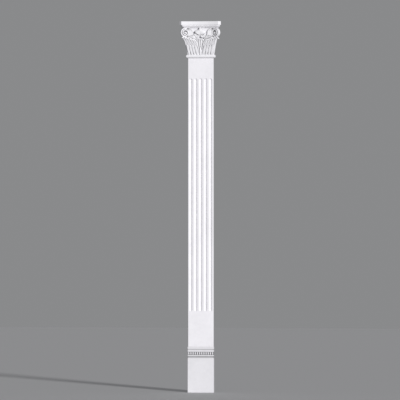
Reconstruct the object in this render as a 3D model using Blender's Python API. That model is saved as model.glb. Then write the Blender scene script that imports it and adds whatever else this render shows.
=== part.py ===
"""A fluted wall pilaster in three cast pieces, stacked against its wall: a base, a shaft and a leaf capital.

X runs along the wall, -Y points out of it into the room and Z is up. The wall is the plane y = 0 and the
floor is z = 0. Sizes are metres. The capital's carving is placed by shares of the capital's own half width,
height and depth, so that it keeps its proportions when those change.
"""

import math

import bmesh
import bpy
from mathutils import Vector

# Shaft
SHAFT_WIDTH = 0.149
SHAFT_DEPTH = 0.023
SHAFT_LENGTH = 1.692
FLUTE_COUNT = 5
FLUTE_WIDTH = 0.017
FLUTE_DEPTH = 0.0055
FLUTE_EDGE_LAND = 0.0074
FLUTE_TOP_MARGIN = 0.1195
FLUTE_BOTTOM_MARGIN = 0.208
EDGE_ROUNDING = 0.0015
EDGE_STEPS = 2
JOINT_GAP = 0.0003

# Base: how far it stands out past the shaft, and its moulding from the top down
BASE_HEIGHT = 0.267
BASE_SIDE_PROJECTION = 0.0025
BASE_FRONT_PROJECTION = 0.007
TOP_FILLET_HEIGHT = 0.0117
GROOVE_HEIGHT = 0.0059
GROOVE_INSET = 0.0028
OVOLO_HEIGHT = 0.0117
OVOLO_REACH = 0.0024
TONGUE_ROW_HEIGHT = 0.0176
TONGUE_RECESS = 0.0040
TONGUE_COUNT = 12
TONGUE_WIDTH = 0.0088
TONGUE_RELIEF = 0.0032
TONGUE_MARGIN = 0.0010
BAND_HEIGHT = 0.0059
BAND_INSET = 0.0005
LOWER_GROOVE_HEIGHT = 0.0059
LOWER_GROOVE_INSET = 0.0036
SLOPE_HEIGHT = 0.0117
PLAIN_INSET = 0.0006
SIDE_RETURN = 0.65  # how deep the moulding is cut on the sides, as a share of its depth in front

# Capital: how far its abacus stands out past the shaft, and its mouldings
CAPITAL_HEIGHT = 0.214
ABACUS_SIDE_PROJECTION = 0.0485
ABACUS_FRONT_PROJECTION = 0.042
ASTRAGAL_HEIGHT = 0.020
ASTRAGAL_PROJECTION = 0.0125
NECK_SIDE_PROJECTION = 0.0045
NECK_FRONT_PROJECTION = 0.006
BELL_SIDE_FLARE = 0.018
BELL_FRONT_FLARE = 0.006
BELL_CORNER = 0.012
ABACUS_FILLET_HEIGHT = 0.0215
ABACUS_GROOVE_HEIGHT = 0.0030
ABACUS_GROOVE_INSET = 0.0070
ABACUS_OVOLO_HEIGHT = 0.0125
ABACUS_OVOLO_INSET = 0.0045
ABACUS_FOOT_INSET = 0.0155
HORN_CUT = 0.014
FRONT_HOLLOW = 0.013
SIDE_HOLLOW = 0.010

# Worked out from the sizes above
BASE_WIDTH = SHAFT_WIDTH + 2 * BASE_SIDE_PROJECTION
BASE_DEPTH = SHAFT_DEPTH + BASE_FRONT_PROJECTION
SHAFT_BOTTOM = BASE_HEIGHT + JOINT_GAP
CAPITAL_BOTTOM = SHAFT_BOTTOM + SHAFT_LENGTH + JOINT_GAP
CAPITAL_WIDTH = SHAFT_WIDTH + 2 * ABACUS_SIDE_PROJECTION
CAPITAL_DEPTH = SHAFT_DEPTH + ABACUS_FRONT_PROJECTION
ABACUS_FOOT = CAPITAL_HEIGHT - ABACUS_FILLET_HEIGHT - ABACUS_GROOVE_HEIGHT - ABACUS_OVOLO_HEIGHT
BEHIND_WALL = 0.010

# Carving
LEAF_LOBES = 5
SCROLL_TURN = math.radians(30)
TO_ROOM = Vector((0, -1, 0))
UP = Vector((0, 0, 1))

CAST_WHITE = {
    "base": (0.77, 0.76, 0.78),
    "shaft": (0.82, 0.81, 0.83),
    "capital": (0.81, 0.80, 0.82),
}
CAST_ROUGHNESS = 0.55
SHARP_FROM = math.radians(40)
STRAIGHT_WITHIN = math.radians(5)


def clear_scene():
    for thing in list(bpy.data.objects):
        bpy.data.objects.remove(thing, do_unlink=True)


def new_collection(name):
    collection = bpy.data.collections.new(name)
    bpy.context.scene.collection.children.link(collection)
    return collection


def cast_material(name):
    """White cast foam with a satin primer."""
    material = bpy.data.materials.new(name)
    material.use_nodes = True
    shader = material.node_tree.nodes["Principled BSDF"]
    shader.inputs["Base Color"].default_value = (*CAST_WHITE[name], 1)
    shader.inputs["Roughness"].default_value = CAST_ROUGHNESS
    shader.inputs["Metallic"].default_value = 0
    return material


def add_piece(name, solid, collection, material=None):
    """Turns a bmesh into an object, and frees the bmesh."""
    mesh = bpy.data.meshes.new(name)
    solid.to_mesh(mesh)
    solid.free()
    piece = bpy.data.objects.new(name, mesh)
    if material:
        mesh.materials.append(material)
    collection.objects.link(piece)
    return piece


def add_helper(name, solid, collection):
    """A solid that is joined to a piece or cut from it, and isn't a piece itself."""
    helper = add_piece(name, solid, collection)
    helper.hide_render = True
    helper.display_type = "WIRE"
    return helper


def add_boolean(piece, operation, collection):
    boolean = piece.modifiers.new(operation.title(), "BOOLEAN")
    boolean.operation = operation
    boolean.operand_type = "COLLECTION"
    boolean.collection = collection
    boolean.solver = "EXACT"


def box(low, high):
    solid = bmesh.new()
    bmesh.ops.create_cube(solid, size=1)
    low, high = Vector(low), Vector(high)
    bmesh.ops.scale(solid, vec=high - low, verts=solid.verts)
    bmesh.ops.translate(solid, vec=(low + high) / 2, verts=solid.verts)
    return solid


def loft(sections):
    """A closed solid through level sections that have equal numbers of points."""
    solid = bmesh.new()
    rings = [[solid.verts.new(point) for point in section] for section in sections]
    for lower, upper in zip(rings, rings[1:]):
        for index in range(len(lower)):
            following = (index + 1) % len(lower)
            solid.faces.new((lower[index], lower[following], upper[following], upper[index]))
    solid.faces.new(rings[0])
    solid.faces.new(rings[-1])
    bmesh.ops.recalc_face_normals(solid, faces=solid.faces)
    return solid


def wall_section(width, depth, height, corner, steps, back=0.0):
    """One level of a piece against the wall: square behind, with its two front corners rounded."""
    points = [Vector((-width / 2, back, height)), Vector((width / 2, back, height))]
    for side in (1, -1):
        centre = Vector((side * (width / 2 - corner), corner - depth, height))
        for step in range(steps + 1):
            share = step / steps if side > 0 else 1 - step / steps
            turn = math.pi / 2 * share
            points.append(centre + corner * Vector((side * math.cos(turn), -math.sin(turn), 0)))
    return points


def curve_towards(*points):
    """A smooth path from the first point to the last, drawn towards those between them (a Bezier curve)."""

    def path(share):
        left = list(points)
        while len(left) > 1:
            left = [start.lerp(end, share) for start, end in zip(left, left[1:])]
        return left[0]

    return path


def swelling(size, fullness=0.6, lean=0.0):
    """Half the width of a lobe along its path: nothing at either end, and fuller towards the tip."""

    def half(share):
        return size / 2 * math.sin(math.pi * share) ** fullness * (1 + lean * (2 * share - 1))

    return half


def bent_lobe(path, width, thickness, across=None, outward=TO_ROOM, sides=8, rings=8, gather=0.07):
    """A leaf lobe, a petal or a scroll's band: a ball drawn out along a path.

    Its width lies along `across`, or square to the path and to `outward` where that is left out. Its rings
    gather towards both ends by `gather`, which keeps short tips round.
    """
    lobe = bmesh.new()
    bmesh.ops.create_uvsphere(lobe, u_segments=sides, v_segments=rings, radius=1)
    nearby = 0.5 / rings
    for vertex in lobe.verts:
        share = math.acos(max(-1.0, min(1.0, -vertex.co.z))) / math.pi
        share -= gather * math.sin(2 * math.pi * share)
        ahead = (path(min(1, share + nearby)) - path(max(0, share - nearby))).normalized()
        side = across if across else ahead.cross(outward).normalized()
        front = side.cross(ahead).normalized()
        around = Vector((vertex.co.x, vertex.co.y))
        if around.length > 1e-6:
            around.normalize()
        vertex.co = path(share) + side * around.x * width(share) + front * around.y * thickness(share)
    bmesh.ops.recalc_face_normals(lobe, faces=lobe.faces)
    return lobe


def mirrored(solid):
    """A copy of the solid on the other side of the middle line."""
    other = solid.copy()
    bmesh.ops.scale(other, vec=(-1, 1, 1), verts=other.verts)
    bmesh.ops.recalc_face_normals(other, faces=other.faces)
    return other


# Base


def base_levels():
    """Heights above the floor, with how far in the outline lies there, from the top down."""
    height = BASE_HEIGHT
    levels = [(height, 0.0)]
    height -= TOP_FILLET_HEIGHT
    levels += [(height, 0.0), (height, GROOVE_INSET)]
    height -= GROOVE_HEIGHT
    ovolo_steps = 6
    for step in range(ovolo_steps + 1):
        turn = math.pi * step / ovolo_steps
        drop = OVOLO_HEIGHT * (1 - math.cos(turn)) / 2
        levels.append((height - drop, GROOVE_INSET - OVOLO_REACH * math.sin(turn)))
    height -= OVOLO_HEIGHT
    levels.append((height, TONGUE_RECESS))
    height -= TONGUE_ROW_HEIGHT
    levels += [(height, TONGUE_RECESS), (height, BAND_INSET)]
    height -= BAND_HEIGHT
    levels += [(height, BAND_INSET), (height, LOWER_GROOVE_INSET)]
    height -= LOWER_GROOVE_HEIGHT
    levels.append((height, LOWER_GROOVE_INSET))
    height -= SLOPE_HEIGHT
    levels += [(height, PLAIN_INSET), (0.0, PLAIN_INSET)]
    return levels


def add_tongues(collection):
    """The row of round-headed tongues that hangs under the ovolo, across the front."""
    top = BASE_HEIGHT - TOP_FILLET_HEIGHT - GROOVE_HEIGHT - OVOLO_HEIGHT - TONGUE_MARGIN
    bottom = top + 2 * TONGUE_MARGIN - TONGUE_ROW_HEIGHT
    face = TONGUE_RECESS - BASE_DEPTH
    pitch = (BASE_WIDTH - 2 * SIDE_RETURN * TONGUE_RECESS - TONGUE_WIDTH) / (TONGUE_COUNT - 1)
    for index in range(TONGUE_COUNT):
        across = (index - (TONGUE_COUNT - 1) / 2) * pitch
        path = curve_towards(Vector((across, face, bottom)), Vector((across, face, top)))
        tongue = bent_lobe(
            path,
            swelling(TONGUE_WIDTH, fullness=0.5, lean=0.35),
            swelling(2 * TONGUE_RELIEF, fullness=0.5, lean=0.2),
            sides=8,
            rings=6,
        )
        add_helper(f"tongue_{index + 1}", tongue, collection)


def add_base(collection, tongues):
    sections = []
    for height, inset in base_levels():
        width = BASE_WIDTH - 2 * SIDE_RETURN * inset
        sections.append(wall_section(width, BASE_DEPTH - inset, height, EDGE_ROUNDING, EDGE_STEPS))
    base = add_piece("base", loft(sections), collection, cast_material("base"))
    add_tongues(tongues)
    add_boolean(base, "UNION", tongues)


# Shaft


def add_flute_cutters(collection):
    """Round-bottomed flutes with round ends, cut by long capsules whose middles lie in front of the face."""
    sides, rings = 24, 13
    radius = FLUTE_WIDTH**2 / (8 * FLUTE_DEPTH) + FLUTE_DEPTH / 2
    straight = SHAFT_LENGTH - FLUTE_TOP_MARGIN - FLUTE_BOTTOM_MARGIN - FLUTE_WIDTH
    pitch = (SHAFT_WIDTH - 2 * FLUTE_EDGE_LAND - FLUTE_WIDTH) / (FLUTE_COUNT - 1)
    low_end = SHAFT_BOTTOM + FLUTE_BOTTOM_MARGIN + FLUTE_WIDTH / 2
    for index in range(FLUTE_COUNT):
        cutter = bmesh.new()
        # With an odd number of rings one band lies across the middle, and is drawn out to the flute's length.
        widest = math.cos(math.pi / (2 * rings))
        bmesh.ops.create_uvsphere(cutter, u_segments=sides, v_segments=rings, radius=radius / widest)
        upper = [vertex for vertex in cutter.verts if vertex.co.z > 0]
        bmesh.ops.translate(cutter, vec=(0, 0, straight), verts=upper)
        across = (index - (FLUTE_COUNT - 1) / 2) * pitch
        out = SHAFT_DEPTH + radius - FLUTE_DEPTH
        bmesh.ops.translate(cutter, vec=(across, -out, low_end), verts=cutter.verts)
        add_helper(f"flute_{index + 1}", cutter, collection)


def add_shaft(collection, flutes):
    sections = [
        wall_section(SHAFT_WIDTH, SHAFT_DEPTH, height, EDGE_ROUNDING, EDGE_STEPS)
        for height in (SHAFT_BOTTOM, SHAFT_BOTTOM + SHAFT_LENGTH)
    ]
    shaft = add_piece("shaft", loft(sections), collection, cast_material("shaft"))
    add_flute_cutters(flutes)
    add_boolean(shaft, "DIFFERENCE", flutes)


# Capital


def place(across, up, out):
    """A point of the carving, by shares of the capital's half width, height and depth."""
    return Vector((across * CAPITAL_WIDTH / 2, -out * CAPITAL_DEPTH, CAPITAL_BOTTOM + up * CAPITAL_HEIGHT))


def bell():
    """The plain core: straight at the neck, flaring under the abacus."""
    sections = []
    steps, corner_steps = 7, 3
    foot, head = ASTRAGAL_HEIGHT / 2, ABACUS_FOOT + ABACUS_OVOLO_HEIGHT
    for step in range(steps + 1):
        share = step / steps
        width = SHAFT_WIDTH + 2 * NECK_SIDE_PROJECTION + 2 * BELL_SIDE_FLARE * share**3
        depth = SHAFT_DEPTH + NECK_FRONT_PROJECTION + BELL_FRONT_FLARE * share**3
        height = CAPITAL_BOTTOM + foot + (head - foot) * share
        sections.append(wall_section(width, depth, height, BELL_CORNER, corner_steps, BEHIND_WALL))
    return loft(sections)


def astragal():
    """The half-round roll at the foot of the bell."""
    sections = []
    steps = 6
    radius = ASTRAGAL_HEIGHT / 2
    for step in range(steps + 1):
        turn = math.pi * (step / steps - 0.5)
        reach = ASTRAGAL_PROJECTION - radius * (1 - math.cos(turn))
        height = CAPITAL_BOTTOM + radius * (1 + math.sin(turn))
        width, depth = SHAFT_WIDTH + 2 * reach, SHAFT_DEPTH + reach
        sections.append(wall_section(width, depth, height, 2 * EDGE_ROUNDING, EDGE_STEPS, BEHIND_WALL))
    return loft(sections)


def abacus_section(height, inset):
    """One level of the abacus: hollow sides and front, and a cut corner at each horn."""
    half, deep = CAPITAL_WIDTH / 2 - inset, CAPITAL_DEPTH - inset
    side_steps, front_steps = 4, 6
    right = [Vector((half - SIDE_HOLLOW, BEHIND_WALL, height))]
    for step in range(side_steps + 1):
        share = step / side_steps
        right.append(Vector((half - SIDE_HOLLOW * (1 - share**2), (HORN_CUT - deep) * share, height)))
    for step in range(front_steps):
        share = 1 - step / front_steps
        out = deep - FRONT_HOLLOW * (1 - share**2)
        right.append(Vector(((half - HORN_CUT) * share, -out, height)))
    middle = Vector((0, FRONT_HOLLOW - deep, height))
    left = [Vector((-point.x, point.y, point.z)) for point in reversed(right)]
    return right + [middle] + left


def abacus():
    """A plain fillet over a groove and a quarter round."""
    foot = CAPITAL_BOTTOM + ABACUS_FOOT
    levels = []
    steps = 4
    for step in range(steps + 1):
        turn = math.pi / 2 * step / steps
        inset = ABACUS_OVOLO_INSET + (ABACUS_FOOT_INSET - ABACUS_OVOLO_INSET) * (1 - math.sin(turn))
        levels.append((foot + ABACUS_OVOLO_HEIGHT * (1 - math.cos(turn)), inset))
    groove = foot + ABACUS_OVOLO_HEIGHT
    fillet = groove + ABACUS_GROOVE_HEIGHT
    top = fillet + ABACUS_FILLET_HEIGHT
    levels += [(groove, ABACUS_GROOVE_INSET), (fillet, ABACUS_GROOVE_INSET), (fillet, 0.0)]
    levels += [(top - EDGE_ROUNDING, 0.0), (top, EDGE_ROUNDING)]
    return loft([abacus_section(height, inset) for height, inset in levels])


def leaf_lobes():
    """The lobes of one big leaf, which fan from the neck towards the corner and curl over at their tips."""
    lobes = []
    for index in range(LEAF_LOBES):
        root = place(0.065 + 0.130 * index, 0.02, 0.42)
        belly = place(0.12 + 0.130 * index, 0.38, 0.50)
        crown = place(0.28 + 0.112 * index, 0.53 + 0.030 * index, 0.58 + 0.020 * index)
        tip = place(0.38 + 0.118 * index, 0.50 + 0.010 * index, 0.78 + 0.033 * index)
        across = (tip - root).cross(TO_ROOM).normalized()
        width = swelling(0.098 * CAPITAL_HEIGHT, fullness=0.42, lean=0.20)
        thickness = swelling(0.070 * CAPITAL_HEIGHT, fullness=0.5, lean=0.10)
        lobes.append(bent_lobe(curve_towards(root, belly, crown, tip), width, thickness, across))
    return lobes


def side_lobes():
    """The two lobes of the leaf that go round the side to the wall."""
    lobes = []
    outward = Vector((1, 0, 0))
    for out in (0.125, 0.350):
        root, belly = place(0.60, 0.02, out), place(0.66, 0.38, out)
        crown, tip = place(0.68, 0.64, out), place(0.88, 0.52, 1.1 * out)
        width = swelling(0.088 * CAPITAL_HEIGHT, fullness=0.42, lean=0.20)
        thickness = swelling(0.060 * CAPITAL_HEIGHT, fullness=0.5, lean=0.10)
        across = (tip - root).cross(outward).normalized()
        lobes.append(bent_lobe(curve_towards(root, belly, crown, tip), width, thickness, across, outward))
    return lobes


def scroll(root, centre, along, radius, stalk_out, stalk_width, band_width, thickness):
    """A broad stalk that rises from `root`, narrows and rolls up into a scroll, with its body behind it.

    `along` points level from the stalk to the scroll's far side, `radius` is the middle of the band at the
    top of the roll, and the stalk stays at least `stalk_out` off the wall. The stalk's outer edge follows
    the roll, so its middle lies further out where it is broader.
    """
    joins, narrowest, end = math.radians(170), math.radians(90), math.radians(-400)
    stalk_share, coiling, thinning = 0.16, 0.088, 0.05
    rings, sides = 38, 8
    join_width = 0.66 * stalk_width

    def full_width(share):
        if share < stalk_share:
            return stalk_width + (join_width - stalk_width) * share / stalk_share
        turn = joins + (end - joins) * (share - stalk_share) / (1 - stalk_share)
        broad = max(0.0, (turn - narrowest) / (joins - narrowest))
        return (join_width - band_width) * broad**1.3 + band_width * min(1.0, 1 + thinning * turn)

    def rolled(share):
        turn = joins + (end - joins) * (share - stalk_share) / (1 - stalk_share)
        reach = radius * (1 + coiling * min(0.0, turn)) + max(0.0, full_width(share) - band_width) / 2
        return centre + reach * (along * math.cos(turn) + UP * math.sin(turn))

    join = rolled(stalk_share)
    rise = 0.4 * (join - root).length * UP
    stalk = curve_towards(root, root + rise, join - rise, join)

    def path(share):
        point = stalk(share / stalk_share) if share < stalk_share else rolled(share)
        behind = stalk_out + point.y
        point.y -= (behind + math.hypot(behind, 0.1 * radius)) / 2
        return point

    def half_width(share):
        return full_width(share) / 2 * math.sin(math.pi * share) ** 0.12

    band = bent_lobe(path, half_width, swelling(thickness, fullness=0.25), sides=sides, rings=rings, gather=0)
    into_wall = Vector((-along.y, along.x, 0)) if along.x > 0 else Vector((along.y, -along.x, 0))
    body_radius, body_depth = 1.12 * radius, 0.62 * radius
    body = bmesh.new()
    bmesh.ops.create_cone(
        body, cap_ends=True, segments=20, radius1=body_radius, radius2=body_radius, depth=body_depth
    )
    facing = UP.rotation_difference(into_wall).to_matrix()
    bmesh.ops.rotate(body, cent=(0, 0, 0), matrix=facing, verts=body.verts)
    bmesh.ops.translate(body, vec=centre + body_depth / 2 * into_wall, verts=body.verts)
    return [band, body]


def corner_scroll():
    return scroll(
        root=place(0.43, 0.36, 0.56),
        centre=place(0.715, 0.695, 0.715),
        along=Vector((math.cos(SCROLL_TURN), -math.sin(SCROLL_TURN), 0)),
        radius=0.114 * CAPITAL_HEIGHT,
        stalk_out=0.60 * CAPITAL_DEPTH,
        stalk_width=0.230 * CAPITAL_HEIGHT,
        band_width=0.036 * CAPITAL_HEIGHT,
        thickness=0.052 * CAPITAL_HEIGHT,
    )


def inner_scroll():
    return scroll(
        root=place(0.22, 0.46, 0.60),
        centre=place(0.135, 0.618, 0.66),
        along=Vector((-1, 0, 0)),
        radius=0.058 * CAPITAL_HEIGHT,
        stalk_out=0.62 * CAPITAL_DEPTH,
        stalk_width=0.085 * CAPITAL_HEIGHT,
        band_width=0.030 * CAPITAL_HEIGHT,
        thickness=0.042 * CAPITAL_HEIGHT,
    )


def side_stalk():
    """The stalk that rises up the side and joins the corner scroll from behind."""
    path = curve_towards(
        place(0.64, 0.44, 0.22), place(0.72, 0.62, 0.20), place(0.74, 0.86, 0.30), place(0.86, 0.78, 0.52)
    )
    width = swelling(0.13 * CAPITAL_HEIGHT, fullness=0.5, lean=-0.3)
    return bent_lobe(path, width, swelling(0.07 * CAPITAL_HEIGHT), outward=Vector((1, 0, 0)))


def palmette():
    """A fan of petals over the inner scrolls, whose middle petal reaches up on to the abacus."""
    petals = []
    side_petals, spread = 3, math.radians(17.5)
    root = place(0, 0.625, 0.70)
    for index in range(-side_petals, side_petals + 1):
        turn = spread * index
        length = (0.215 if index == 0 else 0.150 + 0.010 * abs(index)) * CAPITAL_HEIGHT
        aim = Vector((math.sin(turn), 0, math.cos(turn)))
        middle = root + 0.6 * length * aim + 0.12 * CAPITAL_DEPTH * TO_ROOM
        tip = root + length * aim
        width, thickness = swelling(0.066 * CAPITAL_HEIGHT, lean=0.45), swelling(0.05 * CAPITAL_HEIGHT)
        petals.append(bent_lobe(curve_towards(root, middle, tip), width, thickness))
    return petals


def bud():
    """The bud between the feet of the two big leaves."""
    path = curve_towards(place(0, 0.03, 0.42), place(0, 0.20, 0.62), place(0, 0.34, 0.46))
    return bent_lobe(path, swelling(0.062 * CAPITAL_HEIGHT), swelling(0.055 * CAPITAL_HEIGHT))


def connected(solid):
    """The faces of a bmesh, in the closed shells that they make. Shells that touch at an edge stay apart."""
    groups, left = [], set(solid.faces)
    while left:
        group, reached = [], [left.pop()]
        while reached:
            face = reached.pop()
            group.append(face)
            beside = {other for edge in face.edges if edge.is_manifold for other in edge.link_faces} & left
            left -= beside
            reached += beside
        groups.append(group)
    return groups


def fill_pockets(piece):
    """Makes a joined piece one smooth mesh of triangles, and fills the pockets that its shapes shut in."""
    evaluated = piece.evaluated_get(bpy.context.evaluated_depsgraph_get())
    mesh = bpy.data.meshes.new_from_object(evaluated)
    solid = bmesh.new()
    solid.from_mesh(mesh)
    on_an_edge = [vertex for vertex in solid.verts if len(vertex.link_edges) == 2]
    straight = [vertex for vertex in on_an_edge if vertex.calc_edge_angle() < STRAIGHT_WITHIN]
    bmesh.ops.dissolve_verts(solid, verts=straight)
    bmesh.ops.triangulate(solid, faces=solid.faces)
    groups = connected(solid)
    outer = max(groups, key=len)
    inner = [face for group in groups if group is not outer for face in group]
    bmesh.ops.delete(solid, geom=inner, context="FACES")
    solid.to_mesh(mesh)
    solid.free()
    mesh.shade_smooth()
    mesh.set_sharp_from_angle(angle=SHARP_FROM)
    piece.modifiers.clear()
    piece.data = mesh


def add_capital(collection, carving, trim):
    capital = add_piece("capital", bell(), collection, cast_material("capital"))
    add_helper("astragal", astragal(), carving)
    add_helper("abacus", abacus(), carving)
    add_helper("bud", bud(), carving)
    for index, petal in enumerate(palmette()):
        add_helper(f"petal_{index + 1}", petal, carving)
    right = leaf_lobes() + side_lobes() + corner_scroll() + inner_scroll() + [side_stalk()]
    for index, solid in enumerate(right):
        add_helper(f"left_{index + 1}", mirrored(solid), carving)
        add_helper(f"right_{index + 1}", solid, carving)
    add_boolean(capital, "UNION", carving)
    low = (-CAPITAL_WIDTH, 0, CAPITAL_BOTTOM - CAPITAL_HEIGHT)
    high = (CAPITAL_WIDTH, CAPITAL_DEPTH, CAPITAL_BOTTOM + 2 * CAPITAL_HEIGHT)
    add_helper("wall_trim", box(low, high), trim)
    add_boolean(capital, "DIFFERENCE", trim)
    fill_pockets(capital)


clear_scene()
pilaster = new_collection("pilaster")
add_base(pilaster, new_collection("tongues"))
add_shaft(pilaster, new_collection("flute_cutters"))
add_capital(pilaster, new_collection("carving"), new_collection("trim"))
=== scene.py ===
"""A fluted wall pilaster of cast foam in three pieces, seen from the front in a plain studio.

Metres, with X along the wall, -Y out of it into the room and Z up. The wall is the plane y = 0, and the floor
is z = 0.
"""

import math

import bmesh
import bpy
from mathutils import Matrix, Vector


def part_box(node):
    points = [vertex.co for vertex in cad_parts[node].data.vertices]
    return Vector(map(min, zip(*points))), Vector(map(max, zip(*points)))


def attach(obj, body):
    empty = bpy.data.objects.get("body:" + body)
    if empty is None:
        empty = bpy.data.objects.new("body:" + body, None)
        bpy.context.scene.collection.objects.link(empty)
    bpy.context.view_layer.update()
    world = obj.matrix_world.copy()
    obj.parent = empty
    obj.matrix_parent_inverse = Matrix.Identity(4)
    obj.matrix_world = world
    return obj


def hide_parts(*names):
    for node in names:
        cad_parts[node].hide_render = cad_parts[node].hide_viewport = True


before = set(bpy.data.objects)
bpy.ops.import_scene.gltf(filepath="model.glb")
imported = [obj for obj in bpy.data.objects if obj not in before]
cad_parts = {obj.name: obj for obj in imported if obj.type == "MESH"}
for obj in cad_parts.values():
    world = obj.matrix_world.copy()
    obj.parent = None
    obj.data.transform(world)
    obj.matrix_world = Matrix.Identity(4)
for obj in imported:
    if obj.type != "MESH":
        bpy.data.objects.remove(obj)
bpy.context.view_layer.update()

# The base block is one casting of rigid foam with a white primer, glued flat to the wall. A plain face stands
# under a small moulding, and the moulding returns round both sides.
base_low, base_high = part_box("base")
base_width, base_depth = base_high.x - base_low.x, base_high.y - base_low.y
base_corner = 0.0015
side_return = 0.65
top_fillet, groove_height, groove_inset = 0.0117, 0.0059, 0.0028
ovolo_height, ovolo_reach = 0.0117, 0.0024
tongue_row, tongue_recess = 0.0176, 0.0040
band_height, band_inset = 0.0059, 0.0005
lower_groove_height, lower_groove_inset = 0.0059, 0.0036
slope_height, plain_inset = 0.0117, 0.0006
end_margin, base_softness = 0.004, 0.0006
# How much shade is painted grey into the base's grooves, and from what depth its sunk row gets it all.
groove_shade, shade_from, shade_reach, row_shade_from = 0.45, 0.0012, 0.0018, 0.95 * tongue_recess
base_tone = (0.745, 0.735, 0.765)
touching = 1e-6


class Socket:
    """A socket in a material's nodes. Sums on it add the Math nodes that they need."""

    def __init__(self, tree, link=None):
        self.tree, self.link = tree, link

    def add(self, kind, settings=None, inputs=None, output=0):
        """A new node of a kind. Its settings are made before its sockets get their values or links."""
        node = self.tree.nodes.new(kind)
        for name, value in (settings or {}).items():
            setattr(node, name, value)
        for name, value in (inputs or {}).items():
            if isinstance(value, Socket):
                self.tree.links.new(value.link, node.inputs[name])
            else:
                node.inputs[name].default_value = value
        return Socket(self.tree, node.outputs[output])

    def math(self, operation, first, second):
        return self.add("ShaderNodeMath", {"operation": operation}, {0: first, 1: second})

    def __add__(self, other):
        return self.math("ADD", self, other)

    def __sub__(self, other):
        return self.math("SUBTRACT", self, other)

    def __mul__(self, other):
        return self.math("MULTIPLY", self, other)

    def __rsub__(self, other):
        return self.math("SUBTRACT", other, self)

    __radd__ = __add__
    __rmul__ = __mul__


def primed_foam(name, tone):
    """White primer on cast foam: a satin skin with a fine grain, faint clouds and a few pinholes.

    Shade is painted grey into its hollows: a piece's attribute says, from 0 to 1, how much painted shade a
    point gets.
    """
    deepest_shade = 0.22
    material = bpy.data.materials.new(name)
    material.use_nodes = True
    tree = material.node_tree
    skin = tree.nodes["Principled BSDF"]
    nodes = Socket(tree)
    where = nodes.add("ShaderNodeTexCoord", output="Object")

    def noise(scale, detail, roughness=0.5):
        inputs = {"Vector": where, "Scale": scale, "Detail": detail, "Roughness": roughness}
        return nodes.add("ShaderNodeTexNoise", inputs=inputs)

    def ramp(value, low, high):
        settings = {"clamp": True}
        return nodes.add("ShaderNodeMapRange", settings, {"Value": value, "From Min": low, "From Max": high})

    clouds = ramp(noise(9, 3), 0.35, 0.70)
    streaks = ramp(noise(48, 4), 0.40, 0.72)
    grain = noise(900, 3, 0.6)
    orange_peel = noise(210, 2)
    cells = nodes.add("ShaderNodeTexVoronoi", inputs={"Vector": where, "Scale": 95.0})
    pinholes = 1 - ramp(cells, 0.045, 0.085)
    scarce = ramp(noise(31, 1), 0.60, 0.66)
    pits = pinholes * scarce
    painted_shade = nodes.add("ShaderNodeAttribute", {"attribute_name": "painted_shade"}, output=2)
    # Random clouds, streaks and pinholes darken the tone a little, and on top of that shade is painted grey
    # into hollows.
    mottle_and_painted_shade = clouds * 0.07 + streaks * 0.04 + pits * 0.10 + painted_shade
    shade = [deepest_shade * part for part in tone]
    toned = nodes.add(
        "ShaderNodeMix",
        {"data_type": "RGBA", "clamp_factor": True},
        {0: mottle_and_painted_shade, 6: (*tone, 1), 7: (*shade, 1)},
        output=2,
    )
    tree.links.new(toned.link, skin.inputs["Base Color"])
    satin = 0.47 + grain * 0.10 + clouds * 0.06 + pits * 0.2
    tree.links.new(satin.link, skin.inputs["Roughness"])
    relief = grain * 0.35 + orange_peel * 0.65 - pits * 0.9
    bump = nodes.add("ShaderNodeBump", inputs={"Height": relief, "Strength": 0.35, "Distance": 0.0004})
    tree.links.new(bump.link, skin.inputs["Normal"])
    skin.inputs["Specular IOR Level"].default_value = 0.30
    return material


def finished_piece(name, solid, material, node):
    """Makes a bmesh the object that stands for a node of the frame, or for a part of that node."""
    sharpest_curve = math.radians(40)
    mesh = bpy.data.meshes.new(name)
    solid.to_mesh(mesh)
    solid.free()
    mesh.shade_smooth()
    mesh.set_sharp_from_angle(angle=sharpest_curve)
    mesh.materials.append(material)
    piece = bpy.data.objects.new(name, mesh)
    bpy.context.scene.collection.objects.link(piece)
    flat_faces = piece.modifiers.new("flat_faces_stay_flat", "WEIGHTED_NORMAL")
    flat_faces.keep_sharp = True
    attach(piece, "root")
    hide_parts(node)


def eased(profile, reach, steps=3):
    """Rounds the corners of a profile of (height, inset) points a little, as a mould does."""
    slightest_corner, longest_share = math.radians(30), 0.45
    points = [Vector(point) for point in profile]
    smooth = [points[0]]
    for before, corner, after in zip(points, points[1:], points[2:]):
        into, out_of = corner - before, after - corner
        if into.angle(out_of) < slightest_corner:
            smooth.append(corner)
            continue
        start = corner - into.normalized() * min(reach, longest_share * into.length)
        end = corner + out_of.normalized() * min(reach, longest_share * out_of.length)
        for step in range(steps + 1):
            share = step / steps
            smooth.append(start.lerp(corner, share).lerp(corner.lerp(end, share), share))
    return [tuple(point) for point in smooth + points[-1:]]


def wall_plan(width, depth):
    """A level rectangle with its back on the wall."""
    plan = bmesh.new()
    bmesh.ops.create_grid(plan, x_segments=1, y_segments=1, size=0.5)
    bmesh.ops.scale(plan, vec=(width, depth, 1), verts=plan.verts)
    bmesh.ops.translate(plan, vec=(0, -depth / 2, 0), verts=plan.verts)
    return plan


def cut_front_corners(plan, reach, segments):
    """Cuts a plan's two front corners: round with many segments, straight with one."""
    front = min(vertex.co.y for vertex in plan.verts)
    corners = [vertex for vertex in plan.verts if vertex.co.y < front + touching]
    bmesh.ops.bevel(
        plan, geom=corners, offset=reach, affect="VERTICES", segments=segments, profile=0.5, material=-1
    )


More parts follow.
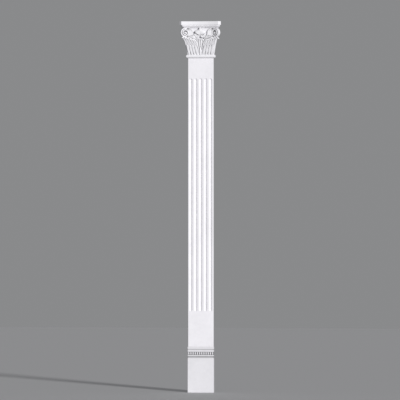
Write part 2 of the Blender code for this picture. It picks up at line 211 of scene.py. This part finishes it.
def stacked(plan, levels):
    """Raises a plan through levels of (height, width, depth) into a closed block.

    The plan comes in the first level's size.
    """
    plan.faces.ensure_lookup_table()
    top = plan.faces[0]
    height, width, depth = levels[0]
    bmesh.ops.translate(plan, vec=(0, 0, height), verts=plan.verts)
    for level, (higher, wider, deeper) in enumerate(levels[1:]):
        below = top
        made = bmesh.ops.extrude_face_region(plan, geom=[below])["geom"]
        top = next(part for part in made if isinstance(part, bmesh.types.BMFace))
        if level > 0:
            bmesh.ops.delete(plan, geom=[below], context="FACES_ONLY")
        bmesh.ops.scale(plan, vec=(wider / width, deeper / depth, 1), verts=top.verts[:])
        bmesh.ops.translate(plan, vec=(0, 0, higher - height), verts=top.verts[:])
        height, width, depth = higher, wider, deeper
    bmesh.ops.recalc_face_normals(plan, faces=plan.faces[:])
    return plan


def base_profile():
    """Heights with how far in the face lies there, from the floor up."""
    row_top = base_high.z - top_fillet - groove_height - ovolo_height
    row_foot = row_top - tongue_row
    band_foot = row_foot - band_height
    groove_foot = band_foot - lower_groove_height
    profile = [(0.0, plain_inset + end_margin), (0.0, plain_inset), (groove_foot - slope_height, plain_inset)]
    slope_steps = 12
    for step in range(1, slope_steps + 1):
        share = step / slope_steps
        hollowed = share * share * (3 - 2 * share)
        height = groove_foot - slope_height * (1 - share)
        profile.append((height, plain_inset + (lower_groove_inset - plain_inset) * hollowed))
    profile += [(band_foot, lower_groove_inset), (band_foot, band_inset)]
    profile += [(row_foot, band_inset), (row_foot, tongue_recess), (row_top, tongue_recess)]
    ovolo_steps = 20
    for step in range(ovolo_steps + 1):
        turn = math.pi * step / ovolo_steps
        rise = ovolo_height * (1 - math.cos(turn)) / 2
        profile.append((row_top + rise, groove_inset - ovolo_reach * math.sin(turn)))
    groove_top = base_high.z - top_fillet
    profile += [(groove_top, groove_inset), (groove_top, 0.0), (base_high.z, 0.0), (base_high.z, end_margin)]
    return eased(profile, base_softness)


def shade_hollows(solid, hollow_at):
    """Stores how much painted shade each point of a solid gets, from 0 to 1, by how far into a hollow it
    lies.
    """
    painted_shade = solid.verts.layers.float.new("painted_shade")
    for vertex in solid.verts:
        vertex[painted_shade] = max(0.0, min(1.0, hollow_at(vertex.co)))


def base_painted_shade(point):
    """Painted shade for the base: its grooves get the more the further in they lie, and its sunk row gets the
    most.
    """
    inset = min(base_depth + point.y, (base_width / 2 - abs(point.x)) / side_return)
    return 1.0 if inset > row_shade_from else groove_shade * (inset - shade_from) / shade_reach


def base_size_at(height, inset):
    """A level of the block, whose sides are cut in less than its front."""
    return height, base_width - 2 * side_return * inset, base_depth - inset


base_levels = [base_size_at(height, inset) for height, inset in base_profile()]
base_plan = wall_plan(*base_levels[0][1:])
cut_front_corners(base_plan, base_corner, segments=5)
base_foam = primed_foam("base_foam", base_tone)
block = stacked(base_plan, base_levels)
shade_hollows(block, base_painted_shade)
finished_piece("base_block", block, base_foam, "base")

# The row of twelve tongues under the base's ovolo is cast with the block. Each is a long drop, a little
# broader at the top, and shade is painted grey on the sunk row between them.
tongue_count, tongue_width, tongue_relief, tongue_margin = 12, 0.0078, 0.0033, 0.0004
# The share of a tongue's relief, from the sunk row out, that gets painted shade.
tongue_shade_share = 0.4
to_room = Vector((0, -1, 0))
up = Vector((0, 0, 1))


def curve_towards(*points):
    """A smooth path from the first point to the last, drawn towards those between them."""

    def path(share):
        left = list(points)
        while len(left) > 1:
            left = [start.lerp(end, share) for start, end in zip(left, left[1:])]
        return left[0]

    return path


def swelling(size, fullness=0.6, lean=0.0):
    """Half the width of a lobe along its path: nothing at either end, and fuller towards the tip."""

    def half(share):
        return size / 2 * math.sin(math.pi * share) ** fullness * (1 + lean * (2 * share - 1))

    return half


def rounded_front(across):
    """A lobe's plain cross-section from edge (-1 or 1) to middle (0): half an ellipse."""
    return math.sqrt(max(0.0, 1 - across * across))


def bent_lobe(
    path, width, thickness, across=None, outward=to_room, front=rounded_front, sides=32, rings=48, gather=0.07
):
    """A leaf lobe, a petal, a tongue or a scroll's band: a ball drawn out along a path.

    Its width lies along `across`, or square to the path and to `outward` where that is left out, and `front`
    is its cross-section. Its rings gather towards both ends.
    """
    lobe = bmesh.new()
    bmesh.ops.create_uvsphere(lobe, u_segments=sides, v_segments=rings, radius=1)
    nearby = 0.5 / rings
    for vertex in lobe.verts:
        share = math.acos(max(-1.0, min(1.0, -vertex.co.z))) / math.pi
        share -= gather * math.sin(2 * math.pi * share)
        ahead = (path(min(1, share + nearby)) - path(max(0, share - nearby))).normalized()
        side = across if across else ahead.cross(outward).normalized()
        facing = side.cross(ahead).normalized()
        around = Vector((vertex.co.x, vertex.co.y))
        if around.length > touching:
            around.normalize()
        raised = thickness(share) * (front(around.x) if around.y > 0 else around.y)
        vertex.co = path(share) + side * around.x * width(share) + facing * raised
    bmesh.ops.recalc_face_normals(lobe, faces=lobe.faces)
    return lobe


def gathered(solids):
    """Several closed shapes as one bmesh."""
    together = bmesh.new()
    for solid in solids:
        mesh = bpy.data.meshes.new("shape")
        solid.to_mesh(mesh)
        solid.free()
        together.from_mesh(mesh)
        bpy.data.meshes.remove(mesh)
    return together


def tongues():
    """One closed drop for each tongue, evenly spaced in the sunk row."""
    top = base_high.z - top_fillet - groove_height - ovolo_height - tongue_margin
    bottom = top + 2 * tongue_margin - tongue_row
    face = tongue_recess - base_depth
    pitch = (base_width - 2 * side_return * tongue_recess - tongue_width) / (tongue_count - 1)
    row = []
    for index in range(tongue_count):
        across = (index - (tongue_count - 1) / 2) * pitch
        path = curve_towards(Vector((across, face, bottom)), Vector((across, face, top)))
        width = swelling(tongue_width, fullness=0.35, lean=0.20)
        thickness = swelling(2 * tongue_relief, fullness=0.5, lean=0.2)
        row.append(bent_lobe(path, width, thickness, sides=32, rings=24))
    return row


def tongue_painted_shade(point):
    """Painted shade on a tongue, darkest where it meets the sunk row behind it."""
    return 1 - (tongue_recess - base_depth - point.y) / (tongue_shade_share * tongue_relief)


tongue_solids = gathered(tongues())
shade_hollows(tongue_solids, tongue_painted_shade)
finished_piece("base_tongues", tongue_solids, base_foam, "base")

# The shaft is one long casting, cut square at both ends to fit between the base and the capital. Five round
# flutes are sunk in its face and stop short of the ends, and the mould leaves their lips a little soft.
shaft_low, shaft_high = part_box("shaft")
shaft_width, shaft_depth = shaft_high.x - shaft_low.x, shaft_high.y - shaft_low.y
flute_count, flute_width, flute_depth, flute_edge_land = 5, 0.017, 0.0055, 0.0074
flute_top_margin, flute_bottom_margin = 0.1195, 0.208
lip_softness, shaft_corner = 0.0005, 0.0015
shaft_tone = (0.835, 0.82, 0.855)


def shaft_rows():
    """Heights of the face's rows of points: close together at the flutes' round ends, far apart between."""
    low_end = shaft_low.z + flute_bottom_margin
    high_end = shaft_high.z - flute_top_margin
    end_rows, straight_rows, soft = 30, 12, 0.0015
    reach = flute_width / 2 + soft
    heights = [shaft_low.z]
    heights += [low_end - soft + reach * row / end_rows for row in range(end_rows + 1)]
    straight = high_end - low_end - flute_width
    heights += [low_end + flute_width / 2 + straight * row / straight_rows for row in range(1, straight_rows)]
    heights += [high_end + soft - reach * row / end_rows for row in range(end_rows, -1, -1)]
    return heights + [shaft_high.z]


def flute_sink(across, height):
    """How deep a point of the shaft's face lies in its nearest flute."""
    radius = flute_width**2 / (8 * flute_depth) + flute_depth / 2
    pitch = (shaft_width - 2 * flute_edge_land - flute_width) / (flute_count - 1)
    middle = (flute_count - 1) / 2
    nearest = max(-middle, min(middle, round(across / pitch)))
    low = shaft_low.z + flute_bottom_margin + flute_width / 2
    high = shaft_high.z - flute_top_margin - flute_width / 2
    along = max(low, min(high, height))
    away = math.hypot(across - nearest * pitch, height - along)
    if away >= radius:
        return 0.0
    sunk = math.sqrt(radius**2 - away**2) - (radius - flute_depth)
    return (sunk + math.hypot(sunk, lip_softness)) / 2


def fluted_board():
    """The face is a grid whose outer columns turn round the corners, and its rim runs back to the wall."""
    heights = shaft_rows()
    face_columns, corner_columns = 240, 5
    columns = face_columns + 2 * corner_columns
    flat_width = shaft_width - 2 * shaft_corner
    board = bmesh.new()
    bmesh.ops.create_grid(board, x_segments=columns, y_segments=len(heights) - 1, size=0.5)
    for vertex in board.verts:
        height = heights[round((vertex.co.y + 0.5) * (len(heights) - 1))]
        column = vertex.co.x * columns
        beyond = max(0.0, abs(column) - face_columns / 2)
        across = flat_width * (abs(column) - beyond) / face_columns
        turn = math.pi / 2 * beyond / corner_columns
        across = math.copysign(across + shaft_corner * math.sin(turn), column)
        back = flute_sink(across, height) + shaft_corner * (1 - math.cos(turn))
        vertex.co = Vector((across, back - shaft_depth, height))
    rim = [edge for edge in board.edges if edge.is_boundary]
    made = bmesh.ops.extrude_edge_only(board, edges=rim)["geom"]
    for part in made:
        if isinstance(part, bmesh.types.BMVert):
            part.co.y = 0.0
    back = [edge for edge in board.edges if edge.is_boundary]
    bmesh.ops.holes_fill(board, edges=back, sides=0)
    bmesh.ops.recalc_face_normals(board, faces=board.faces[:])
    return board


shaft_foam = primed_foam("shaft_foam", shaft_tone)
finished_piece("shaft_board", fluted_board(), shaft_foam, "shaft")

# The capital's straight mouldings: the abacus on top, with hollow sides and cut horns, and the half-round
# astragal at the foot. They are cast in one with the carving between them.
capital_low, capital_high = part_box("capital")
capital_width, capital_depth = capital_high.x - capital_low.x, capital_high.y - capital_low.y
capital_height = capital_high.z - capital_low.z
abacus_fillet, abacus_groove, abacus_groove_inset = 0.0215, 0.0030, 0.0070
abacus_ovolo, abacus_ovolo_inset, abacus_bead, abacus_foot_inset = 0.0088, 0.0045, 0.0037, 0.0155
abacus_bead_reach, abacus_softness = 0.0030, 0.0009
horn_cut, horn_softness, front_hollow, side_hollow = 0.014, 0.0015, 0.013, 0.010
astragal_height, astragal_projection, astragal_corner = 0.020, 0.0125, 0.004
capital_tone = (0.83, 0.82, 0.85)


def abacus_plan(width, depth):
    """The outline of the abacus: hollow in front and at the sides, with a cut corner at each horn."""
    plan = wall_plan(width, depth)
    cut_front_corners(plan, horn_cut, segments=1)
    horns = [vertex for vertex in plan.verts if vertex.co.y < -touching]
    bmesh.ops.bevel(
        plan, geom=horns, offset=horn_softness, affect="VERTICES", segments=2, profile=0.5, material=-1
    )
    half, horn = width / 2, depth - horn_cut
    straight = []
    for edge in plan.edges:
        middle = (edge.verts[0].co + edge.verts[1].co) / 2
        if middle.y < touching - depth or abs(middle.x) > half - touching:
            straight.append(edge)
    bmesh.ops.subdivide_edges(plan, edges=straight, cuts=19)
    for vertex in plan.verts:
        if abs(vertex.co.x) > half - touching:
            share = -vertex.co.y / horn
            vertex.co.x -= math.copysign(side_hollow * (1 - share**2), vertex.co.x)
        elif vertex.co.y < touching - depth:
            share = vertex.co.x / (half - horn_cut)
            vertex.co.y += front_hollow * (1 - share**2)
    return plan


def abacus():
    """From its foot up: a small bead, a quarter round, a groove and a plain fillet."""
    groove_foot = capital_high.z - abacus_fillet - abacus_groove
    ovolo_foot = groove_foot - abacus_ovolo
    foot = ovolo_foot - abacus_bead
    bead_height = 0.8 * abacus_bead
    profile = []
    bead_steps, ovolo_steps = 12, 20
    for step in range(bead_steps + 1):
        turn = math.pi * step / bead_steps
        rise = bead_height * (1 - math.cos(turn)) / 2
        profile.append((foot + rise, abacus_foot_inset - abacus_bead_reach * math.sin(turn)))
    for step in range(ovolo_steps + 1):
        turn = math.pi / 2 * step / ovolo_steps
        inset = abacus_ovolo_inset + (abacus_foot_inset - abacus_ovolo_inset) * (1 - math.sin(turn))
        profile.append((ovolo_foot + abacus_ovolo * (1 - math.cos(turn)), inset))
    fillet_foot = groove_foot + abacus_groove
    profile += [(groove_foot, abacus_groove_inset), (fillet_foot, abacus_groove_inset)]
    profile += [(fillet_foot, 0.0), (capital_high.z, 0.0), (capital_high.z, end_margin)]
    rounded = eased(profile, abacus_softness)
    levels = [(height, capital_width - 2 * inset, capital_depth - inset) for height, inset in rounded]
    foot_width, foot_depth = levels[0][1:]
    plan = abacus_plan(capital_width, capital_depth)
    shrink = (foot_width / capital_width, foot_depth / capital_depth, 1)
    bmesh.ops.scale(plan, vec=shrink, verts=plan.verts)
    return stacked(plan, levels)


def astragal():
    """A half round that goes round the front and both sides of the capital's foot."""
    radius = astragal_height / 2
    steps = 32
    levels = []
    for step in range(steps + 1):
        turn = math.pi * (step / steps - 0.5)
        reach = astragal_projection - radius * (1 - math.cos(turn))
        height = capital_low.z + radius * (1 + math.sin(turn))
        levels.append((height, shaft_width + 2 * reach, shaft_depth + reach))
    plan = wall_plan(*levels[0][1:])
    cut_front_corners(plan, astragal_corner, segments=6)
    return stacked(plan, levels)


capital_foam = primed_foam("capital_foam", capital_tone)
mouldings = gathered([abacus(), astragal()])
finished_piece("capital_mouldings", mouldings, capital_foam, "capital")

# The capital's carving is cast in one skin, flat at the back: a plain bell, two big leaves of five lobes, a
# smaller leaf and a bud between them, corner scrolls on broad stalks, and two small scrolls under a palmette.
# Shade is painted a little grey into its crevices.
neck_side, neck_front, bell_side_flare, bell_front_flare, bell_corner = 0.0045, 0.006, 0.018, 0.006, 0.012
behind_wall, back_clearance = 0.010, 0.0003
leaf_lobe_count, lobe_pitch = 5, 0.130
scroll_turn = math.radians(30)
sideways = Vector((1, 0, 0))


def place(across, up_share, out):
    """A point of the carving, by shares of the capital's half width, height and depth."""
    height = capital_low.z + up_share * capital_height
    return Vector((across * capital_width / 2, -out * capital_depth, height))


def slab_front(across):
    """A flat cross-section with round edges."""
    return max(0.0, 1 - abs(across) ** 6) ** (1 / 3)


def channelled(depth, breadth, middles=(0.0,)):
    """A round cross-section with channels along it."""

    def front(across):
        sunk = sum(math.exp(-(((across - middle) / breadth) ** 2)) for middle in middles)
        return rounded_front(across) - depth * sunk

    return front


def bordered(depth, border):
    """A flat cross-section that is sunk between two raised borders."""

    def front(across):
        inside = 1 / (1 + (abs(across) / (1 - border)) ** 10)
        return slab_front(across) * (1 - depth * inside)

    return front


def mirrored(solid):
    """A copy of a solid on the other side of the middle line."""
    other = solid.copy()
    bmesh.ops.scale(other, vec=(-1, 1, 1), verts=other.verts)
    bmesh.ops.recalc_face_normals(other, faces=other.faces)
    return other


def bell():
    """The plain core: straight at the neck, flaring under the abacus. It runs on behind the wall's plane."""
    foot, head = capital_low.z + astragal_height / 2, capital_high.z - abacus_fillet
    steps = 14
    levels = []
    for step in range(steps + 1):
        share = step / steps
        width = shaft_width + 2 * neck_side + 2 * bell_side_flare * share**3
        depth = shaft_depth + neck_front + bell_front_flare * share**3 + behind_wall
        levels.append((foot + (head - foot) * share, width, depth))
    plan = wall_plan(*levels[0][1:])
    cut_front_corners(plan, bell_corner, segments=8)
    core = stacked(plan, levels)
    bmesh.ops.translate(core, vec=(0, behind_wall, 0), verts=core.verts)
    return core


def leaf_lobes():
    """The lobes of one big leaf, which fan from the neck towards the corner and curl over at their tips."""
    lobes = []
    for index in range(leaf_lobe_count):
        root = place(0.065 + lobe_pitch * index, 0.02, 0.42)
        belly = place(0.12 + lobe_pitch * index, 0.38, 0.50)
        crown = place(0.28 + 0.112 * index, 0.53 + 0.030 * index, 0.58 + 0.020 * index)
        tip = place(0.38 + 0.118 * index, 0.50 + 0.010 * index, 0.78 + 0.033 * index)
        across = (tip - root).cross(to_room).normalized()
        width = swelling(0.088 * capital_height, fullness=0.40, lean=0.22)
        thickness = swelling(0.086 * capital_height, fullness=0.5, lean=0.10)
        path = curve_towards(root, belly, crown, tip)
        front = channelled(0.30, 0.30)
        lobes.append(bent_lobe(path, width, thickness, across, front=front, sides=48, rings=96))
    return lobes


def leaf_blade():
    """The blade that joins a leaf's lobes behind, and fills the valleys between them to one depth."""
    root, belly = place(0.325, 0.02, 0.40), place(0.38, 0.38, 0.475)
    crown, tip = place(0.50, 0.64, 0.64), place(0.60, 0.53, 0.80)
    path = curve_towards(root, belly, crown, tip)
    across = (tip - root).cross(to_room).normalized()
    lobe_breadth, steepness = 0.112, 8
    half = leaf_lobe_count * lobe_breadth * capital_width / 4

    def width(share):
        return half * min(1.0, steepness * share, steepness * (1 - share)) ** 0.5

    thickness = swelling(0.055 * capital_height, fullness=0.3)
    return bent_lobe(path, width, thickness, across, front=slab_front, sides=48, rings=60)


def leaflets():
    """The lower tier of a big leaf: short leaflets that lie over the valleys between its lobes."""
    tier = []
    for index in range(leaf_lobe_count - 1):
        root = place(0.130 + lobe_pitch * index, 0.05, 0.43)
        belly = place(0.165 + lobe_pitch * index, 0.17, 0.60)
        crown = place(0.220 + 0.126 * index, 0.33, 0.60)
        tip = place(0.255 + 0.124 * index, 0.335 + 0.008 * index, 0.76)
        across = (tip - root).cross(to_room).normalized()
        width = swelling(0.072 * capital_height, fullness=0.35, lean=0.10)
        thickness = swelling(0.042 * capital_height, fullness=0.4, lean=0.1)
        path = curve_towards(root, belly, crown, tip)
        front = channelled(0.25, 0.30)
        tier.append(bent_lobe(path, width, thickness, across, front=front, sides=48, rings=64))
    return tier


def side_lobes():
    """The two lobes of the leaf that go round the side to the wall."""
    lobes = []
    for out in (0.125, 0.350):
        root, belly = place(0.60, 0.02, out), place(0.66, 0.38, out)
        crown, tip = place(0.68, 0.64, out), place(0.88, 0.52, 1.1 * out)
        width = swelling(0.080 * capital_height, fullness=0.40, lean=0.22)
        thickness = swelling(0.074 * capital_height, fullness=0.5, lean=0.10)
        across = (tip - root).cross(sideways).normalized()
        path = curve_towards(root, belly, crown, tip)
        front = channelled(0.30, 0.30)
        lobes.append(bent_lobe(path, width, thickness, across, sideways, front, sides=48, rings=96))
    return lobes


def scroll(root, centre, along, radius, stalk_out, stalk_width, band_width, thickness, eye_share):
    """A broad stalk that rises from `root`, narrows and rolls up into a scroll, with its body behind it.

    `along` points level from the stalk to the scroll's far side, `radius` is the middle of the band at the
    top of the roll, and the stalk stays at least `stalk_out` off the wall. The stalk's outer edge follows
    the roll, so its middle lies further out where it is broader.
    """
    joins, narrowest, end = math.radians(170), math.radians(90), math.radians(-560)
    stalk_share, coiling, thinning, eye_flatness = 0.16, 0.070, 0.02, 0.55
    join_width, rise_share, wall_softness, end_fullness = 0.66 * stalk_width, 0.4, 0.1 * radius, 0.12
    body_radius, body_depth, body_sunk = 1.12 * radius, 0.62 * radius, 0.06 * radius
    rings, sides = 260, 48

    def turn_at(share):
        return joins + (end - joins) * (share - stalk_share) / (1 - stalk_share)

    def full_width(share):
        if share < stalk_share:
            return stalk_width + (join_width - stalk_width) * share / stalk_share
        turn = turn_at(share)
        broad = max(0.0, (turn - narrowest) / (joins - narrowest))
        return (join_width - band_width) * broad**1.3 + band_width * min(1.0, 1 + thinning * turn)

    def rolled(share):
        turn = turn_at(share)
        reach = radius * (1 + coiling * min(0.0, turn)) + max(0.0, full_width(share) - band_width) / 2
        return centre + reach * (along * math.cos(turn) + up * math.sin(turn))

    join = rolled(stalk_share)
    rise = rise_share * (join - root).length * up
    stalk = curve_towards(root, root + rise, join - rise, join)

    def path(share):
        point = stalk(share / stalk_share) if share < stalk_share else rolled(share)
        behind = stalk_out + point.y
        point.y -= (behind + math.hypot(behind, wall_softness)) / 2
        return point

    def half_width(share):
        return full_width(share) / 2 * math.sin(math.pi * share) ** end_fullness

    depth = swelling(thickness, fullness=0.25)
    front = bordered(0.42, 0.20)
    band = bent_lobe(path, half_width, depth, front=front, sides=sides, rings=rings, gather=0)
    into_wall = Vector((-along.y, along.x, 0)) if along.x > 0 else Vector((along.y, -along.x, 0))
    body = bmesh.new()
    bmesh.ops.create_cone(
        body, cap_ends=True, segments=64, radius1=body_radius, radius2=body_radius, depth=body_depth
    )
    facing = up.rotation_difference(into_wall).to_matrix()
    bmesh.ops.rotate(body, cent=(0, 0, 0), matrix=facing, verts=body.verts)
    middle = centre + (body_depth / 2 + body_sunk) * into_wall
    bmesh.ops.translate(body, vec=middle, verts=body.verts)
    eye = bmesh.new()
    bmesh.ops.create_uvsphere(eye, u_segments=24, v_segments=16, radius=eye_share * radius)
    bmesh.ops.scale(eye, vec=(1, eye_flatness, 1), verts=eye.verts)
    bmesh.ops.translate(eye, vec=centre, verts=eye.verts)
    return [band, body, eye]


def corner_scroll():
    """The big scroll under a horn of the abacus, which is turned out over the corner."""
    return scroll(
        root=place(0.43, 0.36, 0.56),
        centre=place(0.715, 0.695, 0.715),
        along=Vector((math.cos(scroll_turn), -math.sin(scroll_turn), 0)),
        radius=0.112 * capital_height,
        stalk_out=0.60 * capital_depth,
        stalk_width=0.230 * capital_height,
        band_width=0.032 * capital_height,
        thickness=0.066 * capital_height,
        eye_share=0.20,
    )


def inner_scroll():
    """The small scroll beside the middle line, which lies flat to the front."""
    return scroll(
        root=place(0.22, 0.46, 0.60),
        centre=place(0.135, 0.618, 0.66),
        along=Vector((-1, 0, 0)),
        radius=0.058 * capital_height,
        stalk_out=0.62 * capital_depth,
        stalk_width=0.085 * capital_height,
        band_width=0.030 * capital_height,
        thickness=0.042 * capital_height,
        eye_share=0.24,
    )


def side_stalk():
    """The stalk that rises up the side and joins the corner scroll from behind."""
    root, belly = place(0.64, 0.44, 0.22), place(0.72, 0.62, 0.20)
    crown, tip = place(0.74, 0.86, 0.30), place(0.86, 0.78, 0.52)
    path = curve_towards(root, belly, crown, tip)
    width = swelling(0.13 * capital_height, fullness=0.5, lean=-0.3)
    thickness = swelling(0.07 * capital_height)
    return bent_lobe(path, width, thickness, outward=sideways, front=bordered(0.4, 0.25))


def palmette():
    """A fan of petals over the inner scrolls, whose middle petal reaches up on to the abacus."""
    petals = []
    side_petals, spread = 3, math.radians(17.5)
    root = place(0, 0.625, 0.70)
    for index in range(-side_petals, side_petals + 1):
        turn = spread * index
        length = (0.215 if index == 0 else 0.150 + 0.010 * abs(index)) * capital_height
        aim = Vector((math.sin(turn), 0, math.cos(turn)))
        middle = root + 0.6 * length * aim + 0.12 * capital_depth * to_room
        tip = root + length * aim
        width, thickness = swelling(0.066 * capital_height, lean=0.45), swelling(0.05 * capital_height)
        path = curve_towards(root, middle, tip)
        petals.append(bent_lobe(path, width, thickness, front=channelled(0.28, 0.30)))
    return petals


def middle_leaf():
    """The leaf that shows between the two big ones. Its tip bends out under the small scrolls."""
    root, belly = place(0, 0.10, 0.40), place(0, 0.36, 0.52)
    crown, tip = place(0, 0.57, 0.58), place(0, 0.50, 0.74)
    path = curve_towards(root, belly, crown, tip)
    width = swelling(0.215 * capital_height, fullness=0.45, lean=0.45)
    thickness = swelling(0.060 * capital_height, fullness=0.4)
    front = channelled(0.30, 0.11, middles=(-0.5, 0.0, 0.5))
    return bent_lobe(path, width, thickness, front=front, sides=64, rings=64)


def bud():
    """The bud between the feet of the two big leaves."""
    path = curve_towards(place(0, 0.03, 0.42), place(0, 0.20, 0.62), place(0, 0.34, 0.46))
    return bent_lobe(path, swelling(0.062 * capital_height), swelling(0.055 * capital_height))


def delete_loose_shells(skin):
    """Deletes whatever isn't joined to a mesh's broadest face."""
    broadest = max(skin.faces, key=lambda face: face.calc_area())
    joined, ends = {broadest}, [broadest]
    while ends:
        for edge in ends.pop().edges:
            for face in edge.link_faces:
                if face not in joined:
                    joined.add(face)
                    ends.append(face)
    loose = [face for face in skin.faces if face not in joined]
    bmesh.ops.delete(skin, geom=loose, context="FACES")


def one_skin(solids, faces_left):
    """Joins closed shapes in one skin, softens its creases as a mould does, and cuts it flat at the wall.

    The cut lies a hair in front of the backs of the mouldings, so that the two don't share a plane.
    """
    voxel, smoothing, halvings, longest_edge, no_length = 0.0007, 8, 4, 0.006, 0.00002
    mesh = bpy.data.meshes.new("skin")
    joined = gathered(solids)
    joined.to_mesh(mesh)
    joined.free()
    holder = bpy.data.objects.new("skin", mesh)
    bpy.context.scene.collection.objects.link(holder)
    remesh = holder.modifiers.new("skin", "REMESH")
    remesh.mode, remesh.voxel_size = "VOXEL", voxel
    soften = holder.modifiers.new("soften", "SMOOTH")
    soften.factor, soften.iterations = 0.5, smoothing
    fine = holder.evaluated_get(bpy.context.evaluated_depsgraph_get())
    thin = holder.modifiers.new("thin", "DECIMATE")
    thin.ratio = min(1.0, faces_left / (2 * len(fine.data.polygons)))
    skin = bmesh.new()
    skin.from_object(holder, bpy.context.evaluated_depsgraph_get())
    bpy.data.objects.remove(holder, do_unlink=True)
    for _ in range(halvings):
        long_edges = [edge for edge in skin.edges if edge.calc_length() > longest_edge]
        bmesh.ops.subdivide_edges(skin, edges=long_edges, cuts=1)
        bmesh.ops.triangulate(skin, faces=[face for face in skin.faces if len(face.verts) > 3])
        bmesh.ops.dissolve_degenerate(skin, dist=no_length, edges=skin.edges[:])
    everything = skin.verts[:] + skin.edges[:] + skin.faces[:]
    back = (0, -back_clearance, 0)
    cut = bmesh.ops.bisect_plane(
        skin, geom=everything, plane_co=back, plane_no=(0, 1, 0), clear_outer=True
    )
    rim = [part for part in cut["geom_cut"] if isinstance(part, bmesh.types.BMEdge)]
    bmesh.ops.holes_fill(skin, edges=rim, sides=0)
    bmesh.ops.triangulate(skin, faces=[face for face in skin.faces if len(face.verts) > 3])
    bmesh.ops.dissolve_degenerate(skin, dist=no_length, edges=skin.edges[:])
    delete_loose_shells(skin)
    bmesh.ops.recalc_face_normals(skin, faces=skin.faces[:])
    return skin


def shade_crevices(skin):
    """Paints shade grey into the crevices: the points that would move out most if the skin were smoothed."""
    rounds, blurs, least, most = 20, 2, 0.00010, 0.00034
    painted_shade = skin.verts.layers.float.new("painted_shade")
    skin.normal_update()
    carved = [(vertex.co.copy(), vertex.normal.copy()) for vertex in skin.verts]
    axes = {"use_axis_x": True, "use_axis_y": True, "use_axis_z": True}
    for _ in range(rounds):
        bmesh.ops.smooth_vert(skin, verts=skin.verts, factor=0.5, **axes)
    for vertex, (point, normal) in zip(skin.verts, carved):
        vertex[painted_shade] = ((vertex.co - point).dot(normal) - least) / (most - least)
        vertex.co = point
    for _ in range(blurs):
        means = []
        for vertex in skin.verts:
            near = [edge.other_vert(vertex)[painted_shade] for edge in vertex.link_edges]
            means.append((vertex[painted_shade] + sum(near)) / (1 + len(near)))
        for vertex, mean in zip(skin.verts, means):
            vertex[painted_shade] = mean
    for vertex in skin.verts:
        at_back = vertex.co.y > -2 * back_clearance
        vertex[painted_shade] = 0.0 if at_back else max(0.0, min(1.0, vertex[painted_shade]))


right_half = leaf_lobes() + leaflets() + side_lobes() + [leaf_blade()]
right_half += corner_scroll() + inner_scroll() + [side_stalk()]
left_half = [mirrored(solid) for solid in right_half]
middle_forms = [bell(), middle_leaf(), bud()] + palmette()
carving = one_skin(middle_forms + right_half + left_half, faces_left=182000)
shade_crevices(carving)
finished_piece("capital_carving", carving, capital_foam, "capital")

# The studio: a plain pale floor in plain soft light, stronger from the right. The camera has a long lens and
# stands a little to the right of the middle, about level with half the pilaster's height.
pixel, picture, floor_row = 0.005857, 400, 392.58
aim = Vector((-0.003, -0.03, (floor_row - picture / 2) * pixel))
lens, distance = 360.0, 24.0
camera_turn = math.radians(8)
floor_reach, floor_tone, floor_roughness = 12, (0.56, 0.56, 0.57), 0.9
sky_tone, sky_strength = (0.97, 0.98, 1.0), 0.26
sun_strength, sun_breadth = 3.15, math.radians(6)
towards_sun = Vector((0.58, -0.79, 0.19))


def studio_floor():
    """A plain painted floor, broad enough for every view."""
    ground = bmesh.new()
    bmesh.ops.create_grid(ground, x_segments=1, y_segments=1, size=floor_reach)
    mesh = bpy.data.meshes.new("floor")
    ground.to_mesh(mesh)
    ground.free()
    floor = bpy.data.objects.new("floor", mesh)
    bpy.context.scene.collection.objects.link(floor)
    paint = bpy.data.materials.new("floor_paint")
    paint.use_nodes = True
    shader = paint.node_tree.nodes["Principled BSDF"]
    shader.inputs["Base Color"].default_value = (*floor_tone, 1)
    shader.inputs["Roughness"].default_value = floor_roughness
    mesh.materials.append(paint)


studio_floor()
world = bpy.data.worlds.new("studio")
bpy.context.scene.world = world
world.use_nodes = True
sky = world.node_tree.nodes["Background"]
sky.inputs["Color"].default_value = (*sky_tone, 1)
sky.inputs["Strength"].default_value = sky_strength
sun = bpy.data.lights.new("key", "SUN")
sun.energy, sun.angle = sun_strength, sun_breadth
key = bpy.data.objects.new("key", sun)
key.rotation_euler = towards_sun.to_track_quat("Z", "Y").to_euler()
bpy.context.scene.collection.objects.link(key)
bpy.context.scene.view_settings.view_transform = "Standard"

lens_data = bpy.data.cameras.new("camera")
lens_data.lens = lens
lens_data.sensor_width = picture * pixel * lens / (distance + aim.y)
camera = bpy.data.objects.new("camera", lens_data)
towards_camera = Vector((math.sin(camera_turn), -math.cos(camera_turn), 0))
camera.location = aim + (distance + aim.y) * towards_camera
camera.rotation_euler = towards_camera.to_track_quat("Z", "Y").to_euler()
bpy.context.scene.collection.objects.link(camera)
bpy.context.scene.camera = camera
